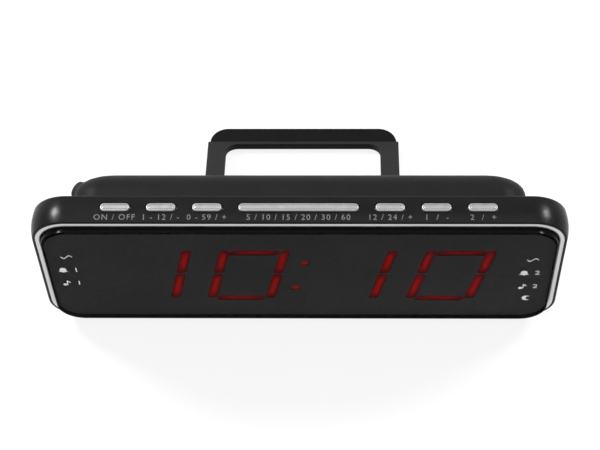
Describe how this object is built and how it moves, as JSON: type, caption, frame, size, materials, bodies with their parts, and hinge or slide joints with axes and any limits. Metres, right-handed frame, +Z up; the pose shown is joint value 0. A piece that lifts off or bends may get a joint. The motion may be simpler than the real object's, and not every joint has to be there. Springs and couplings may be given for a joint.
{
  "type": "clock radio",
  "caption": "Leaning black clock radio with a smoked display lens in a silver trim, a row of silver top buttons and a fold-out rear stand.",
  "frame": {"origin": "middle of the part's footprint, on the surface that it stands on", "axes": "+X along the display's width, to the right as seen from the front; +Y to the back; +Z up"},
  "size_m": [0.2396, 0.0984, 0.0905],
  "materials": {
    "cabinet_black": "black moulded plastic, fine satin grain",
    "lens_smoked": "smoked acrylic, polished",
    "trim_silver": "bright plated plastic",
    "button_silver": "silver paint on moulded plastic",
    "led_red": "red light guide",
    "inner_black": "dull black plastic",
    "board_green": "green solder resist on laminate",
    "steel": "zinc-plated steel",
    "copper": "enamelled copper winding",
    "ferrite": "sintered ferrite",
    "rubber": "dull black rubber"
  },
  "bodies": {
    "cabinet": {"front_frame": "cabinet_black", "rear_housing": "cabinet_black", "display_lens": "lens_smoked", "trim_ring": "trim_silver", "digit_1": "led_red", "digit_2": "led_red", "digit_3": "led_red", "digit_4": "led_red", "colon_guide": "led_red", "display_reflector": "inner_black", "key_switch_1": "inner_black", "key_switch_2": "inner_black", "key_switch_3": "inner_black", "key_switch_4": "inner_black", "key_switch_5": "inner_black", "key_switch_6": "inner_black", "key_switch_7": "inner_black", "filter_capacitor": "inner_black", "key_board": "board_green", "display_board": "board_green", "main_board": "board_green", "transformer_core": "steel", "transformer_bracket": "steel", "speaker_basket": "steel", "tuner_can": "steel", "stand_pin_left": "steel", "stand_pin_right": "steel", "battery_contact_top": "steel", "battery_contact_bottom": "steel", "case_screw_1": "steel", "case_screw_2": "steel", "case_screw_3": "steel", "case_screw_4": "steel", "board_screw_1": "steel", "board_screw_2": "steel", "transformer_screw_1": "steel", "transformer_screw_2": "steel", "transformer_winding": "copper", "antenna_coil": "copper", "ferrite_rod": "ferrite", "speaker_magnet": "ferrite", "foot_left": "rubber", "foot_right": "rubber", "cord_gland": "rubber"},
    "stand": {"stand": "cabinet_black", "stand_foot_pad": "rubber"},
    "battery_door": {"battery_door": "cabinet_black"},
    "speaker_cone": {"speaker_cone": "inner_black"},
    "power_button": {"power_button": "button_silver"},
    "hour_button": {"hour_button": "button_silver"},
    "minute_button": {"minute_button": "button_silver"},
    "snooze_button": {"snooze_button": "button_silver"},
    "time_set_button": {"time_set_button": "button_silver"},
    "alarm_1_button": {"alarm_1_button": "button_silver"},
    "alarm_2_button": {"alarm_2_button": "button_silver"}
  },
  "joints": [
    {"name": "stand_fold", "type": "hinge", "parent": "cabinet", "child": "stand", "pos_m": [0, 0.005, 0.0245], "axis": [1, 0, 0], "range_deg": [0, 115]},
    {"name": "battery_door_lift", "type": "slide", "parent": "cabinet", "child": "battery_door", "axis": [0, 0.9981, -0.0614], "range_m": [0, 0.02]},
    {"name": "cone_stroke", "type": "slide", "parent": "cabinet", "child": "speaker_cone", "axis": [0, -0.9981, 0.0614], "range_m": [-0.0005, 0.0005], "stiffness_N_per_m": 1500},
    {"name": "power_press", "type": "slide", "parent": "cabinet", "child": "power_button", "axis": [0, -0.2079, -0.9781], "range_m": [0, 0.0008], "stiffness_N_per_m": 1500},
    {"name": "hour_press", "type": "slide", "parent": "cabinet", "child": "hour_button", "axis": [0, -0.2079, -0.9781], "range_m": [0, 0.0008], "stiffness_N_per_m": 1500},
    {"name": "minute_press", "type": "slide", "parent": "cabinet", "child": "minute_button", "axis": [0, -0.2079, -0.9781], "range_m": [0, 0.0008], "stiffness_N_per_m": 1500},
    {"name": "snooze_press", "type": "slide", "parent": "cabinet", "child": "snooze_button", "axis": [0, -0.2079, -0.9781], "range_m": [0, 0.0008], "stiffness_N_per_m": 1500},
    {"name": "time_set_press", "type": "slide", "parent": "cabinet", "child": "time_set_button", "axis": [0, -0.2079, -0.9781], "range_m": [0, 0.0008], "stiffness_N_per_m": 1500},
    {"name": "alarm_1_press", "type": "slide", "parent": "cabinet", "child": "alarm_1_button", "axis": [0, -0.2079, -0.9781], "range_m": [0, 0.0008], "stiffness_N_per_m": 1500},
    {"name": "alarm_2_press", "type": "slide", "parent": "cabinet", "child": "alarm_2_button", "axis": [0, -0.2079, -0.9781], "range_m": [0, 0.0008], "stiffness_N_per_m": 1500}
  ]
}
